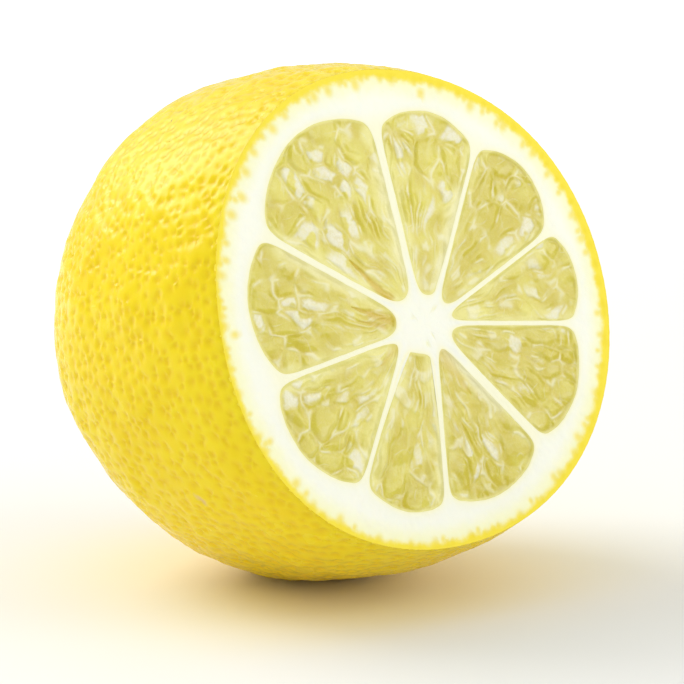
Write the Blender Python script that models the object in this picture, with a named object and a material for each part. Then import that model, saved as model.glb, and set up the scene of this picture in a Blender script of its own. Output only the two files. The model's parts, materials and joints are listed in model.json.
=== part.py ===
# A lemon with one end sliced off, lying on its side on the small flat that its skin has taken.
# The slice runs across the fruit, so the cut face shows nine segments of pulp round a white core.
# Metres, +Z up. The cut face looks along -Y and a little upwards, the tip points along +Y.
# The origin is the centre of the resting flat.

import bpy
import bmesh
from math import atan2, cos, pi, radians, sin
from mathutils import Matrix, Vector
from mathutils.geometry import interpolate_bezier

MM = 0.001

# Body outline: stations are measured along the fruit's axis from the cut face towards the tip.
CUT_RADIUS = 26.6 * MM
CUT_FLARE = radians(19.0)
CUT_HANDLE = 5.7 * MM
WIDEST_RADIUS = 29.4 * MM
WIDEST_STATION = 21.8 * MM
WIDEST_HANDLE_FRONT = 10.4 * MM
WIDEST_HANDLE_BACK = 14.4 * MM
SHOULDER_STATION = 46.2 * MM
SHOULDER_RADIUS = 10.2 * MM
SHOULDER_SLOPE = radians(-56.0)
SHOULDER_HANDLE = 12.0 * MM
NECK_LENGTH = 3.4 * MM
NECK_RADIUS = 6.5 * MM
NECK_HANDLE = (0.36, -0.24)     # along and across the axis, as shares of the nipple's length
NIPPLE_LENGTH = 4.2 * MM

# How far a cross-section leaves a true circle, as shares of its radius.
# Each entry is lobes: (cosine, sine) at the cut face, then (cosine, sine) at the shoulder.
# One lobe bends the fruit's axis, two make it oval, three and four are the blunt ridges of the skin.
# Past the shoulder they grow only a little more, up to LUMP_SHARE_LIMIT times the shoulder's.
LUMPS = {
    1: ((0.0, 0.0), (0.001, 0.045)),
    2: ((-0.002, -0.006), (0.018, -0.038)),
    3: ((0.012, -0.003), (0.016, -0.016)),
    4: ((-0.009, 0.002), (0.023, -0.001)),
}
LUMP_SHARE_LIMIT = 1.1

# Pose: the slice leaves the fruit lighter in front, so it settles with the cut face turned up.
FACE_TILT = radians(15.4)
FLAT_DEPTH = 0.4 * MM

# Cut face. The white core sits a little below the middle, and a thin membrane runs from it to the
# rind on each side of a segment. Each membrane has its direction at the core and at the rind.
CORE_CENTRE = Vector((0.2, -1.9)) * MM
CORE_RADIUS = 3.9 * MM
PULP_RADIUS = 21.6 * MM
MEMBRANE_THICKNESS = 0.8 * MM
MEMBRANES = (
    (-212, -211),
    (-165, -168),
    (-145, -124),
    (-76, -92),
    (-41, -47),
    (-3, -5),
    (19, 24),
    (50, 60),
    (98, 96),
)

# Each segment's rounded outer end: its direction, its farthest reach from the fruit's axis, its radius.
SEGMENT_ENDS = (
    (172, 22.2 * MM, 10.6 * MM),
    (-141, 22.9 * MM, 9.8 * MM),
    (-105, 22.5 * MM, 8.0 * MM),
    (-70, 22.6 * MM, 10.2 * MM),
    (-30, 23.0 * MM, 9.8 * MM),
    (4, 22.7 * MM, 7.0 * MM),
    (38, 22.6 * MM, 7.4 * MM),
    (76, 22.1 * MM, 8.4 * MM),
    (125, 23.5 * MM, 11.4 * MM),
)
PULP_ROUNDING = 11      # the higher, the sharper a segment's corners
WELL_CENTRE_SHARE = 0.56        # where a segment's middle is, from core to rind
WELL_DEPTH = 0.8 * MM
CUTTER_RISE = 2.0 * MM

STEPS_AROUND = 60
STEPS_TO_WIDEST = 7
STEPS_TO_SHOULDER = 13
STEPS_TO_NECK = 3
STEPS_TO_TIP = 5
STEPS_PER_WELL = 40
MERGE_DISTANCE = 0.01 * MM
SHARP_ANGLE = radians(35)


def clear_scene():
    for item in list(bpy.data.objects):
        bpy.data.objects.remove(item, do_unlink=True)


def skin_material():
    material = bpy.data.materials.new("lemon_skin")
    material.use_nodes = True
    shader = material.node_tree.nodes["Principled BSDF"]
    shader.inputs["Base Color"].default_value = (0.93, 0.70, 0.05, 1.0)
    shader.inputs["Roughness"].default_value = 0.38
    shader.inputs["Metallic"].default_value = 0.0
    return material


def span(start, start_handle, end_handle, end, steps):
    """Points of one Bezier span of the outline, without its last point."""
    return interpolate_bezier(start, start_handle, end_handle, end, steps + 1)[:-1]


def body_outline():
    """The body's outline as (station, radius) points, from the cut edge to the tip."""
    cut = Vector((0.0, CUT_RADIUS))
    widest = Vector((WIDEST_STATION, WIDEST_RADIUS))
    shoulder = Vector((SHOULDER_STATION, SHOULDER_RADIUS))
    neck = Vector((SHOULDER_STATION + NECK_LENGTH, NECK_RADIUS))
    tip = Vector((neck.x + NIPPLE_LENGTH, 0.0))
    flare = Vector((1.0, sin(CUT_FLARE) / cos(CUT_FLARE)))
    fall = Vector((cos(SHOULDER_SLOPE), sin(SHOULDER_SLOPE)))
    neck_slope = Vector(NECK_HANDLE) * NIPPLE_LENGTH
    points = span(
        cut,
        cut + flare * CUT_HANDLE,
        widest - Vector((WIDEST_HANDLE_FRONT, 0.0)),
        widest,
        STEPS_TO_WIDEST,
    )
    points += span(
        widest,
        widest + Vector((WIDEST_HANDLE_BACK, 0.0)),
        shoulder - fall * SHOULDER_HANDLE,
        shoulder,
        STEPS_TO_SHOULDER,
    )
    points += span(shoulder, shoulder + fall * (NECK_LENGTH / 2), neck - neck_slope, neck, STEPS_TO_NECK)
    points += span(neck, neck + neck_slope, tip + Vector((0.0, NECK_RADIUS / 2)), tip, STEPS_TO_TIP)
    return points + [tip]


def lump_scale(angle, station):
    """How much the section at a station is wider or narrower than a circle, at an angle."""
    share = min(station / SHOULDER_STATION, LUMP_SHARE_LIMIT)
    scale = 1.0
    for lobes, (at_cut, at_shoulder) in LUMPS.items():
        cosine = at_cut[0] * (1 - share) + at_shoulder[0] * share
        sine = at_cut[1] * (1 - share) + at_shoulder[1] * share
        scale += cosine * cos(lobes * angle) + sine * sin(lobes * angle)
    return scale


def face_to_world():
    """Turns fruit axes (X across, Y up the cut face, Z out of it) into world axes."""
    across = Vector((1.0, 0.0, 0.0))
    up_face = Vector((0.0, sin(FACE_TILT), cos(FACE_TILT)))
    return Matrix((across, up_face, across.cross(up_face))).transposed().to_4x4()


def build_body():
    """Turns the outline into a closed body, lumps it, lays it down and presses in the flat."""
    mesh = bmesh.new()
    profile = [mesh.verts.new((radius, 0.0, -station)) for station, radius in body_outline()]
    edges = [mesh.edges.new(pair) for pair in zip(profile, profile[1:])]
    bmesh.ops.spin(
        mesh,
        geom=profile + edges,
        cent=(0.0, 0.0, 0.0),
        axis=(0.0, 0.0, 1.0),
        angle=2 * pi,
        steps=STEPS_AROUND,
        use_merge=True,
    )
    bmesh.ops.remove_doubles(mesh, verts=mesh.verts[:], dist=MERGE_DISTANCE)
    rim = [edge for edge in mesh.edges if edge.is_boundary]
    bmesh.ops.contextual_create(mesh, geom=rim)
    for vert in mesh.verts:
        scale = lump_scale(atan2(vert.co.y, vert.co.x), -vert.co.z)
        vert.co.x *= scale
        vert.co.y *= scale
    bmesh.ops.transform(mesh, matrix=face_to_world(), verts=mesh.verts[:])
    floor = min(vert.co.z for vert in mesh.verts) + FLAT_DEPTH
    bmesh.ops.bisect_plane(
        mesh,
        geom=mesh.verts[:] + mesh.edges[:] + mesh.faces[:],
        plane_co=(0.0, 0.0, floor),
        plane_no=(0.0, 0.0, 1.0),
        clear_inner=True,
    )
    edge_loop = [edge for edge in mesh.edges if edge.is_boundary]
    flat = bmesh.ops.contextual_create(mesh, geom=edge_loop)["faces"][0]
    centre = flat.calc_center_median_weighted()
    bmesh.ops.translate(mesh, verts=mesh.verts[:], vec=-centre)
    bmesh.ops.recalc_face_normals(mesh, faces=mesh.faces[:])
    return mesh, -centre


def ray_to_line(origin, direction, point, normal):
    """Distance along a ray to a line in the cut face, or None where the ray runs away from it."""
    closing = direction.dot(normal)
    if closing <= 0.0:
        return None
    return (point - origin).dot(normal) / closing


def ray_to_end(origin, direction, end):
    """Distance along a ray to a segment's outer end: half a circle, then straight flanks inwards."""
    heading, farthest, radius = radians(end[0]), end[1], end[2]
    along_axis = Vector((cos(heading), sin(heading)))
    across_axis = Vector((-along_axis.y, along_axis.x))
    start = origin - along_axis * (farthest - radius)
    along = start.dot(direction)
    reach = -along + max(along * along + radius * radius - start.length_squared, 0.0) ** 0.5
    if start.dot(along_axis) + reach * direction.dot(along_axis) >= 0.0:
        return reach
    sideways = direction.dot(across_axis)
    if sideways == 0.0:
        return None
    flank = radius if sideways > 0.0 else -radius
    return (flank - start.dot(across_axis)) / sideways


def membrane_line(directions):
    """A membrane as its point at the core and the unit vector from there to the rind."""
    at_core, at_rind = (radians(value) for value in directions)
    inner = CORE_CENTRE + Vector((cos(at_core), sin(at_core))) * CORE_RADIUS
    outer = CORE_CENTRE + Vector((cos(at_rind), sin(at_rind))) * PULP_RADIUS
    return inner, (outer - inner).normalized()


def well_outline(first, second, end):
    """A segment's rounded outline in the cut face, between two membranes, the core and its outer end."""
    inner_a, along_a = membrane_line(first)
    inner_b, along_b = membrane_line(second)
    inward = (inner_a + inner_b) / 2
    outward = (along_a + along_b).normalized()
    centre = inward + outward * (PULP_RADIUS - CORE_RADIUS) * WELL_CENTRE_SHARE
    side_a = Vector((along_a.y, -along_a.x))
    side_b = Vector((-along_b.y, along_b.x))
    half = MEMBRANE_THICKNESS / 2
    walls = (
        (inner_a - side_a * half, side_a),
        (inner_b - side_b * half, side_b),
        (inward, -outward),
    )
    points = []
    for step in range(STEPS_PER_WELL):
        angle = 2 * pi * step / STEPS_PER_WELL + atan2(outward.y, outward.x)
        direction = Vector((cos(angle), sin(angle)))
        reaches = [ray_to_line(centre, direction, point, normal) for point, normal in walls]
        reaches.append(ray_to_end(centre, direction, end))
        nearness = sum((MM / value) ** PULP_ROUNDING for value in reaches if value)
        reach = MM * nearness ** (-1 / PULP_ROUNDING)
        points.append(centre + direction * reach)
    return points


def build_wells(face_centre):
    """One closed cutter for each segment, sunk into the cut face by the depth of the wells."""
    mesh = bmesh.new()
    closed_ring = MEMBRANES[1:] + ((MEMBRANES[0][0] + 360, MEMBRANES[0][1] + 360),)
    for first, second, end in zip(MEMBRANES, closed_ring, SEGMENT_ENDS):
        verts = [mesh.verts.new((x, y, -WELL_DEPTH)) for x, y in well_outline(first, second, end)]
        base = mesh.faces.new(verts)
        raised = bmesh.ops.extrude_face_region(mesh, geom=[base])["geom"]
        bmesh.ops.translate(
            mesh,
            verts=[item for item in raised if isinstance(item, bmesh.types.BMVert)],
            vec=(0.0, 0.0, WELL_DEPTH + CUTTER_RISE),
        )
    bmesh.ops.recalc_face_normals(mesh, faces=mesh.faces[:])
    placed = Matrix.Translation(face_centre) @ face_to_world()
    bmesh.ops.transform(mesh, matrix=placed, verts=mesh.verts[:])
    return mesh


def add_object(name, mesh):
    data = bpy.data.meshes.new(name)
    mesh.to_mesh(data)
    mesh.free()
    item = bpy.data.objects.new(name, data)
    bpy.context.collection.objects.link(item)
    return item


def main():
    clear_scene()
    body, face_centre = build_body()
    lemon = add_object("cut_lemon", body)
    lemon.data.materials.append(skin_material())
    lemon.data.shade_smooth()
    lemon.data.set_sharp_from_angle(angle=SHARP_ANGLE)
    cutter = add_object("pulp_wells", build_wells(face_centre))
    cutter.hide_render = True
    cutter.display_type = "WIRE"
    wells = lemon.modifiers.new("pulp_wells", "BOOLEAN")
    wells.operation = "DIFFERENCE"
    wells.solver = "EXACT"
    wells.object = cutter


main()
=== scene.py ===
import bpy
import bmesh
import json
import numpy as np
from math import atan2, cos, exp, pi, radians, sin, sqrt, tan
from mathutils import Matrix, Vector, kdtree, noise
from mathutils.geometry import delaunay_2d_cdt, interpolate_bezier


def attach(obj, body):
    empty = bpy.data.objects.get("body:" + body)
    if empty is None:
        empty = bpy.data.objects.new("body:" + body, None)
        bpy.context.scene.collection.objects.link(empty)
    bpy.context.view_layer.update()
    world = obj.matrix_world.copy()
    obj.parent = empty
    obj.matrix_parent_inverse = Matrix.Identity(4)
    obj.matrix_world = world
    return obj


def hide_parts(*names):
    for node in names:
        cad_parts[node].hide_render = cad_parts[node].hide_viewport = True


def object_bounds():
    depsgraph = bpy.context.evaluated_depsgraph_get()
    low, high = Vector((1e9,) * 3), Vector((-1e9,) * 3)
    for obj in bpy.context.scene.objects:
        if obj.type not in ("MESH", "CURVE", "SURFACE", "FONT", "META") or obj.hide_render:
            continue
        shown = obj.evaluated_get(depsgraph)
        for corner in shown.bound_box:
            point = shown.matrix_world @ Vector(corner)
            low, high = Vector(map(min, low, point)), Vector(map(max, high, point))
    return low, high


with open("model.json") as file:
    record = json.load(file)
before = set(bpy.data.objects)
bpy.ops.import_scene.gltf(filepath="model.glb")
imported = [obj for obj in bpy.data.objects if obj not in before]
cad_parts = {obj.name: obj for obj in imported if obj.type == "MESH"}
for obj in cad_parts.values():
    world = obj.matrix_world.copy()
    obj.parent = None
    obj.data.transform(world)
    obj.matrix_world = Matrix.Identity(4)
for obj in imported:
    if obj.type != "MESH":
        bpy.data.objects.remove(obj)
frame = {"record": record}
cadLow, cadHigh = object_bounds()
scene = bpy.context.scene

# the lemon is worked out in millimetres in its own axes: x across the cut face, y up it, z out of it
lemonShape = {
    "width": 59.6,              # what the frame's box measures across, at a scale of 1
    "cutRadius": 26.6,
    "cutFlare": 19.0,           # degrees
    "cutHandle": 5.7,
    "widestRadius": 29.4,
    "widestStation": 21.8,
    "widestHandleFront": 10.4,
    "widestHandleBack": 14.4,
    "shoulderStation": 46.2,
    "shoulderRadius": 10.2,
    "shoulderSlope": -56.0,     # degrees
    "shoulderHandle": 12.0,
    "neckLength": 3.4,
    "neckRadius": 6.5,
    "nippleLength": 4.2,
    "neckHandle": (0.36, -0.24),    # in nipple lengths
    "steps": (60, 20, 30),          # along the body, the neck and the tip
    "lumpLimit": 1.1,               # in shoulder stations; the lumps don't grow past it
    # lobes: (cosine, sine) at the cut, (cosine, sine) at the shoulder, as shares of the radius
    "lumps": {
        1: ((0.0, 0.0), (0.001, 0.045)),
        2: ((-0.002, -0.006), (0.018, -0.038)),
        3: ((0.012, -0.003), (0.016, -0.016)),
        4: ((-0.009, 0.002), (0.023, -0.001)),
    },
}

# the cut face: nine membranes run from the core to the rind, each as
# (direction at the core, direction at the rind, thickness)
cutFace = {
    "core": Vector((0.2, -1.9)),
    "coreRadius": 3.9,
    "pulpRadius": 21.6,
    "ringRadius": 24.1,
    "membranes": [
        (-212, -211, 0.75),
        (-165, -168, 0.55),
        (-145, -124, 0.55),
        (-76, -92, 0.6),
        (-41, -47, 1.1),
        (-3, -5, 0.5),
        (19, 24, 0.5),
        (50, 60, 0.55),
        (98, 96, 0.9),
    ],
    # each segment's rounded outer end: direction, farthest reach from the fruit's axis, radius
    "ends": [
        (172, 22.2, 10.6),
        (-141, 22.9, 9.8),
        (-105, 22.5, 8.0),
        (-70, 22.6, 10.2),
        (-30, 23.0, 9.8),
        (4, 22.7, 7.0),
        (38, 22.6, 7.4),
        (76, 22.1, 8.4),
        (125, 23.5, 11.4),
    ],
    "rounding": 11,
    "middleShare": 0.56,        # where a segment's middle is between the core and the rind
    # unevenness of a segment's outline: how many, how much, where the noise starts
    "wobble": [(2.6, 0.012, 0.0), (9.0, 0.005, 3.0)],
    "wobbleApart": 7.0,
    # how much closer than the rest each segment's inner end comes to the core
    "reachIn": [0.0, 0.0, 0.0, 0.8, 0.0, 0.0, 0.0, 0.3, 0.0],
}

segmentCount = len(cutFace["membranes"])
tiny = 1e-9

mount = next(m for m in frame["record"]["mounts"] if m["name"] == "cut_face")
unit = (cadHigh.x - cadLow.x) / lemonShape["width"]
outward = Vector(mount["axis"]).normalized()
across = Vector((1.0, 0.0, 0.0))
upFace = outward.cross(across)
turn = Matrix((across, upFace, outward)).transposed().to_4x4()
faceCentre = Vector(mount["pos_m"]) - turn.to_3x3() @ cutFace["core"].to_3d() * unit
toWorld = Matrix.Translation(faceCentre) @ turn @ Matrix.Scale(unit, 4)


def smoothStep(low, high, value):
    t = np.clip((value - low) / (high - low), 0.0, 1.0)
    return t * t * (3.0 - 2.0 * t)


def heading(degrees):
    return Vector((cos(radians(degrees)), sin(radians(degrees))))


def bezierSpan(start, startHandle, endHandle, end, steps):
    return interpolate_bezier(start, startHandle, endHandle, end, steps + 1)[:-1]


def lemonOutline():
    # (station, radius) points from the cut edge to the tip
    s = lemonShape
    bodySteps, neckSteps, tipSteps = s["steps"]
    cut = Vector((0.0, s["cutRadius"]))
    widest = Vector((s["widestStation"], s["widestRadius"]))
    shoulder = Vector((s["shoulderStation"], s["shoulderRadius"]))
    neck = Vector((s["shoulderStation"] + s["neckLength"], s["neckRadius"]))
    tip = Vector((neck.x + s["nippleLength"], 0.0))
    flare = Vector((1.0, tan(radians(s["cutFlare"])))) * s["cutHandle"]
    front = Vector((s["widestHandleFront"], 0.0))
    back = Vector((s["widestHandleBack"], 0.0))
    fall = heading(s["shoulderSlope"])
    neckHandle = Vector(s["neckHandle"]) * s["nippleLength"]
    tipHandle = Vector((0.0, s["neckRadius"] / 2))
    points = bezierSpan(cut, cut + flare, widest - front, widest, bodySteps)
    points += bezierSpan(widest, widest + back, shoulder - fall * s["shoulderHandle"], shoulder, bodySteps)
    points += bezierSpan(shoulder, shoulder + fall * s["neckLength"] / 2, neck - neckHandle, neck, neckSteps)
    points += bezierSpan(neck, neck + neckHandle, tip + tipHandle, tip, tipSteps)
    return np.array([tuple(p) for p in points] + [tuple(tip)])


outline = lemonOutline()


def lumpScale(angle, station):
    share = np.clip(station / lemonShape["shoulderStation"], 0.0, lemonShape["lumpLimit"])
    scale = 1.0
    for lobes, (atCut, atShoulder) in lemonShape["lumps"].items():
        cosine = atCut[0] * (1 - share) + atShoulder[0] * share
        sine = atCut[1] * (1 - share) + atShoulder[1] * share
        scale = scale + cosine * np.cos(lobes * angle) + sine * np.sin(lobes * angle)
    return scale


def cutEdgeRadius(angle):
    return lemonShape["cutRadius"] * lumpScale(angle, 0.0)


def noiseAt(points, size, shift):
    return np.array([noise.noise(Vector((p[0] / size, p[1] / size, shift))) for p in points])


def fractal(points, size, octaves):
    return np.array([noise.fractal(Vector(p) / size, 1.0, 2.0, octaves) for p in points])


def bell(distance, width):
    return np.exp(-((distance / width) ** 2))


def getCoords(bm):
    return np.array([v.co for v in bm.verts])


def setCoords(bm, coords):
    for vert, co in zip(bm.verts, coords):
        vert.co = co


def paintPoints(bm, attributes):
    # what the materials read from each point of the mesh
    for key, values in attributes.items():
        layer = bm.verts.layers.float.new(key)
        for vert, value in zip(bm.verts, values):
            vert[layer] = value


def boundaryEdges(bm):
    return [e for e in bm.edges if e.is_boundary]


def extrudeRim(bm, rim):
    # gives the new edges and the new points
    out = bmesh.ops.extrude_edge_only(bm, edges=rim)["geom"]
    edges = [g for g in out if isinstance(g, bmesh.types.BMEdge)]
    return edges, [g for g in out if isinstance(g, bmesh.types.BMVert)]


def dropWalls(bm, rim, depth):
    # straight down from a rim; gives the lower edges
    lower, added = extrudeRim(bm, rim)
    for vert in added:
        vert.co.z = -depth
    return lower


def closeSolid(bm, rim):
    bmesh.ops.contextual_create(bm, geom=rim)
    bmesh.ops.recalc_face_normals(bm, faces=bm.faces[:])


sharpAngle = 50.0       # degrees; an edge that turns more than this stays crisp


def finishPiece(name, bm, material):
    # puts a bmesh made in the lemon's own axes into the world as a piece that rides on the frame
    bmesh.ops.transform(bm, matrix=toWorld, verts=bm.verts[:])
    mesh = bpy.data.meshes.new(name)
    bm.to_mesh(mesh)
    bm.free()
    mesh.shade_smooth()
    mesh.set_sharp_from_angle(angle=radians(sharpAngle))
    mesh.materials.append(material)
    piece = bpy.data.objects.new(name, mesh)
    scene.collection.objects.link(piece)
    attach(piece, "root")
    print(name, len(mesh.vertices), "points", sum(len(p.vertices) - 2 for p in mesh.polygons), "triangles")
    return piece


class Nodes:
    # a short way to write shader nodes
    def __init__(self, name):
        self.material = bpy.data.materials.new(name)
        self.material.use_nodes = True
        self.tree = self.material.node_tree
        self.shader = self.tree.nodes["Principled BSDF"]

    def add(self, kind, inputs=None, **settings):
        node = self.tree.nodes.new(kind)
        for key, value in settings.items():
            setattr(node, key, value)
        for key, value in (inputs or {}).items():
            self.put(node.inputs[key], value)
        return node

    def put(self, socket, value):
        if isinstance(value, bpy.types.NodeSocket):
            self.tree.links.new(value, socket)
        else:
            socket.default_value = value

    def set(self, **inputs):
        for key, value in inputs.items():
            self.put(self.shader.inputs[key.replace("_", " ")], value)

    def coords(self):
        return self.add("ShaderNodeTexCoord").outputs["Object"]

    def attribute(self, name):
        return self.add("ShaderNodeAttribute", attribute_name=name).outputs["Fac"]

    def math(self, operation, a, b):
        return self.add("ShaderNodeMath", {0: a, 1: b}, operation=operation).outputs["Value"]

    def times(self, a, b):
        return self.math("MULTIPLY", a, b)

    def noise(self, perMillimetre, detail, roughness, distortion=0.0):
        inputs = {"Vector": self.coords(), "Scale": perMillimetre / unit, "Detail": detail,
                  "Roughness": roughness, "Distortion": distortion}
        return self.add("ShaderNodeTexNoise", inputs).outputs["Fac"]

    def voronoi(self, perMillimetre):
        return self.add("ShaderNodeTexVoronoi", {"Vector": self.coords(), "Scale": perMillimetre / unit})

    def mapRange(self, value, low, high, toLow=0.0, toHigh=1.0):
        inputs = {"Value": value, "From Min": low, "From Max": high, "To Min": toLow, "To Max": toHigh}
        return self.add("ShaderNodeMapRange", inputs, interpolation_type="SMOOTHSTEP").outputs["Result"]

    def mix(self, factor, a, b):
        node = self.add("ShaderNodeMix", data_type="RGBA")
        for place, value in ((0, factor), (6, a), (7, b)):     # the colour sockets
            self.put(node.inputs[place], value)
        return node.outputs[2]

    def bump(self, height, millimetres, strength):
        inputs = {"Height": height, "Distance": millimetres * unit, "Strength": strength}
        return self.add("ShaderNodeBump", inputs).outputs["Normal"]


peelLook = {
    "yellow": (0.91, 0.71, 0.003, 1.0),
    "golden": (0.89, 0.655, 0.002, 1.0),
    "pale": (0.94, 0.78, 0.010, 1.0),
    "glandDark": (0.83, 0.555, 0.003, 1.0),
    "greenish": (0.70, 0.58, 0.03, 1.0),
    "speck": (0.22, 0.12, 0.02, 1.0),
    "scar": (0.76, 0.56, 0.28, 1.0),
    "tipScar": (0.33, 0.20, 0.07, 1.0),
    # noises: how many to the millimetre, detail, roughness
    "broadNoise": (0.05, 3.0, 0.5),
    "patchNoise": (0.22, 3.0, 0.6),
    "fineNoise": (2.2, 3.0, 0.6),
    "goldenRange": (0.35, 0.68),
    "paleRange": (0.45, 0.75),
    "paleAmount": 0.5,
    "glandAmount": 0.7,
    "greenishAmount": 0.55,
    "scarAmount": 0.8,
    "specksPerMillimetre": 0.3,
    "speckEdge": (0.07, 0.035),
    "specksLeftOut": 0.72,
    "speckAmount": 0.6,
    "roughness": (0.3, 0.7, 0.18, 0.28),    # the first two are the patch noise's own range
    "fineAmount": 0.5,
    "bumpHeight": 0.05,
    "bumpStrength": 0.35,
}


def makePeelMaterial():
    n = Nodes("lemonPeel")
    look = peelLook
    gland = n.attribute("gland")
    broad = n.noise(*look["broadNoise"])
    patch = n.noise(*look["patchNoise"])
    tone = n.mix(n.mapRange(broad, *look["goldenRange"]), look["yellow"], look["golden"])
    tone = n.mix(n.times(n.mapRange(patch, *look["paleRange"]), look["paleAmount"]), tone, look["pale"])
    tone = n.mix(n.times(gland, look["glandAmount"]), tone, look["glandDark"])
    tone = n.mix(n.times(n.attribute("tipShare"), look["greenishAmount"]), tone, look["greenish"])
    # brown specks at some of the middles of a cell pattern
    specks = n.voronoi(look["specksPerMillimetre"])
    isSpeck = n.mapRange(specks.outputs["Distance"], *look["speckEdge"])
    chance = n.add("ShaderNodeSeparateColor", {"Color": specks.outputs["Color"]}).outputs["Red"]
    isSpeck = n.times(isSpeck, n.math("GREATER_THAN", chance, look["specksLeftOut"]))
    tone = n.mix(n.times(isSpeck, look["speckAmount"]), tone, look["speck"])
    tone = n.mix(n.times(n.attribute("scar"), look["scarAmount"]), tone, look["scar"])
    tone = n.mix(n.attribute("tipScar"), tone, look["tipScar"])
    height = n.math("SUBTRACT", n.times(n.noise(*look["fineNoise"]), look["fineAmount"]), gland)
    n.set(Base_Color=tone, Roughness=n.mapRange(patch, *look["roughness"]))
    n.set(Normal=n.bump(height, look["bumpHeight"], look["bumpStrength"]))
    n.set(Subsurface_Weight=0.12, Subsurface_Radius=(1.0, 0.6, 0.08), Subsurface_Scale=0.0012)
    n.set(IOR=1.42, Specular_IOR_Level=0.34)
    return n.material


skin = {
    "glandSpacing": 1.5,
    "rowSpacing": 0.866,        # in gland spacings, as in a triangular pattern
    "glandJitter": 0.36,
    "fewestInRow": 5,
    "tableSteps": 4000,
    "cuts": 3,                  # across each edge between two glands
    "pitDepths": (0.115, 0.23),
    "pitRadii": (0.5, 0.85),
    "pitEdge": (0.15, 1.0),     # in pit radii
    "edgeFill": 0.8,            # how much shallower the pits on the cut edge are
    "lumps": ((7.0, 0.3), (2.6, 0.08)),     # size and height of the skin's own unevenness
    "lumpOctaves": 3,
    "lumpFade": (-0.5, 3.0),    # stations over which the unevenness sets in
    "lip": 0.03,
    "recess": 2.6,
    # the small dry scar low on the peel
    "scarStation": 12.9,
    "scarAngle": 216.0,
    "scarPerDegree": 0.5,       # millimetres round the skin
    "scarSize": (1.25, 0.42),
    "scarSlant": 0.35,
    "scarEdge": (0.4, 1.0),
    # the tip and its scar
    "greenFrom": (44.0, 52.0),
    "tipStation": 50.0,
    "tipScarRadii": (0.7, 1.5),
    "tipScarNoise": (0.9, 2.0),
    "tipScarWobble": 0.3,
    "tipScarDepth": 0.45,
    "seed": 11,
}


def layGlands():
    # gland centres ring by ring at an even spacing, as (plane x, plane y) where the plane is a
    # conformal flattening of the skin about the tip, so that joining neighbours there suits the skin
    random = np.random.default_rng(skin["seed"])
    tipward = outline[::-1]
    lengths = np.r_[0.0, np.cumsum(np.hypot(*np.diff(tipward, axis=0).T))]
    total = lengths[-1]
    rows = int(round(total / (skin["glandSpacing"] * skin["rowSpacing"])))
    step = total / rows
    fine = np.linspace(step / 2, total, skin["tableSteps"])
    radii = np.interp(fine, lengths, tipward[:, 1])
    logs = np.r_[0.0, np.cumsum(np.diff(fine) / (0.5 * (radii[1:] + radii[:-1])))]
    planePoints = [(0.0, 0.0)]
    for row in range(1, rows + 1):
        along = row * step
        radius = np.interp(along, lengths, tipward[:, 1])
        count = max(skin["fewestInRow"], int(round(2 * pi * radius / skin["glandSpacing"])))
        turns = (np.arange(count) + 0.5 * (row % 2)) / count
        last = row == rows
        shake = 0.0 if last else skin["glandJitter"]
        angles = 2 * pi * (turns + random.uniform(-1, 1, count) * shake / count)
        places = along + random.uniform(-1, 1, count) * shake * step
        planeRadii = np.exp(np.interp(places, fine, logs))
        planePoints += list(zip(planeRadii * np.cos(angles), planeRadii * np.sin(angles)))
    return np.array(planePoints), fine, logs, lengths, tipward


def planeToSkin(plane, onEdge, fine, logs, lengths, tipward):
    planeRadius = np.hypot(plane[:, 0], plane[:, 1])
    angle = np.arctan2(plane[:, 1], plane[:, 0])
    along = np.interp(np.log(np.maximum(planeRadius, tiny)), logs, fine)
    nearTip = planeRadius < exp(logs[0])
    along = np.where(nearTip, fine[0] * planeRadius / exp(logs[0]), along)
    along = np.where(onEdge, lengths[-1], along)
    station = np.interp(along, lengths, tipward[:, 0])
    radius = np.interp(along, lengths, tipward[:, 1]) * lumpScale(angle, station)
    return np.c_[radius * np.cos(angle), radius * np.sin(angle), -station], station, angle


def peelBase():
    # the skin before its relief, as a mesh whose corners are the glands
    plane, *flattening = layGlands()
    joined = delaunay_2d_cdt([Vector(p) for p in plane], [], [], 0, tiny)
    bm = bmesh.new()
    verts = [bm.verts.new((p.x, p.y, 0.0)) for p in joined[0]]
    for face in joined[2]:
        bm.faces.new([verts[i] for i in face])
    bmesh.ops.subdivide_edges(bm, edges=bm.edges[:], cuts=skin["cuts"], use_grid_fill=True)
    bmesh.ops.triangulate(bm, faces=bm.faces[:])
    bm.verts.index_update()
    print("peel base", len(plane), "glands", len(bm.faces), "faces")
    onEdge = np.array([v.is_boundary for v in bm.verts])
    coords, station, angle = planeToSkin(getCoords(bm)[:, :2], onEdge, *flattening)
    setCoords(bm, coords)
    bmesh.ops.recalc_face_normals(bm, faces=bm.faces[:])
    bm.normal_update()
    middle = Vector((0.0, 0.0, -lemonShape["widestStation"]))
    if sum((v.co - middle).dot(v.normal) for v in bm.verts) < 0:
        bmesh.ops.reverse_faces(bm, faces=bm.faces[:])
        bm.normal_update()
    centres = planeToSkin(plane, np.zeros(len(plane), bool), *flattening)[0]
    return bm, coords, station, angle, onEdge, centres


def glandPits(coords, onEdge, centres):
    # how far into a gland each point is, and how deep its pit is there
    random = np.random.default_rng(skin["seed"] + 1)
    tree = kdtree.KDTree(len(centres))
    for i, centre in enumerate(centres):
        tree.insert(centre, i)
    tree.balance()
    pitRadii = random.uniform(*skin["pitRadii"], len(centres))
    pitDepths = random.uniform(*skin["pitDepths"], len(centres))
    found = [tree.find(co) for co in coords]
    nearest = np.array([f[1] for f in found])
    distance = np.array([f[2] for f in found])
    gland = 1.0 - smoothStep(*skin["pitEdge"], distance / pitRadii[nearest])
    return gland, gland * pitDepths[nearest] * (1.0 - skin["edgeFill"] * onEdge)


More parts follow.
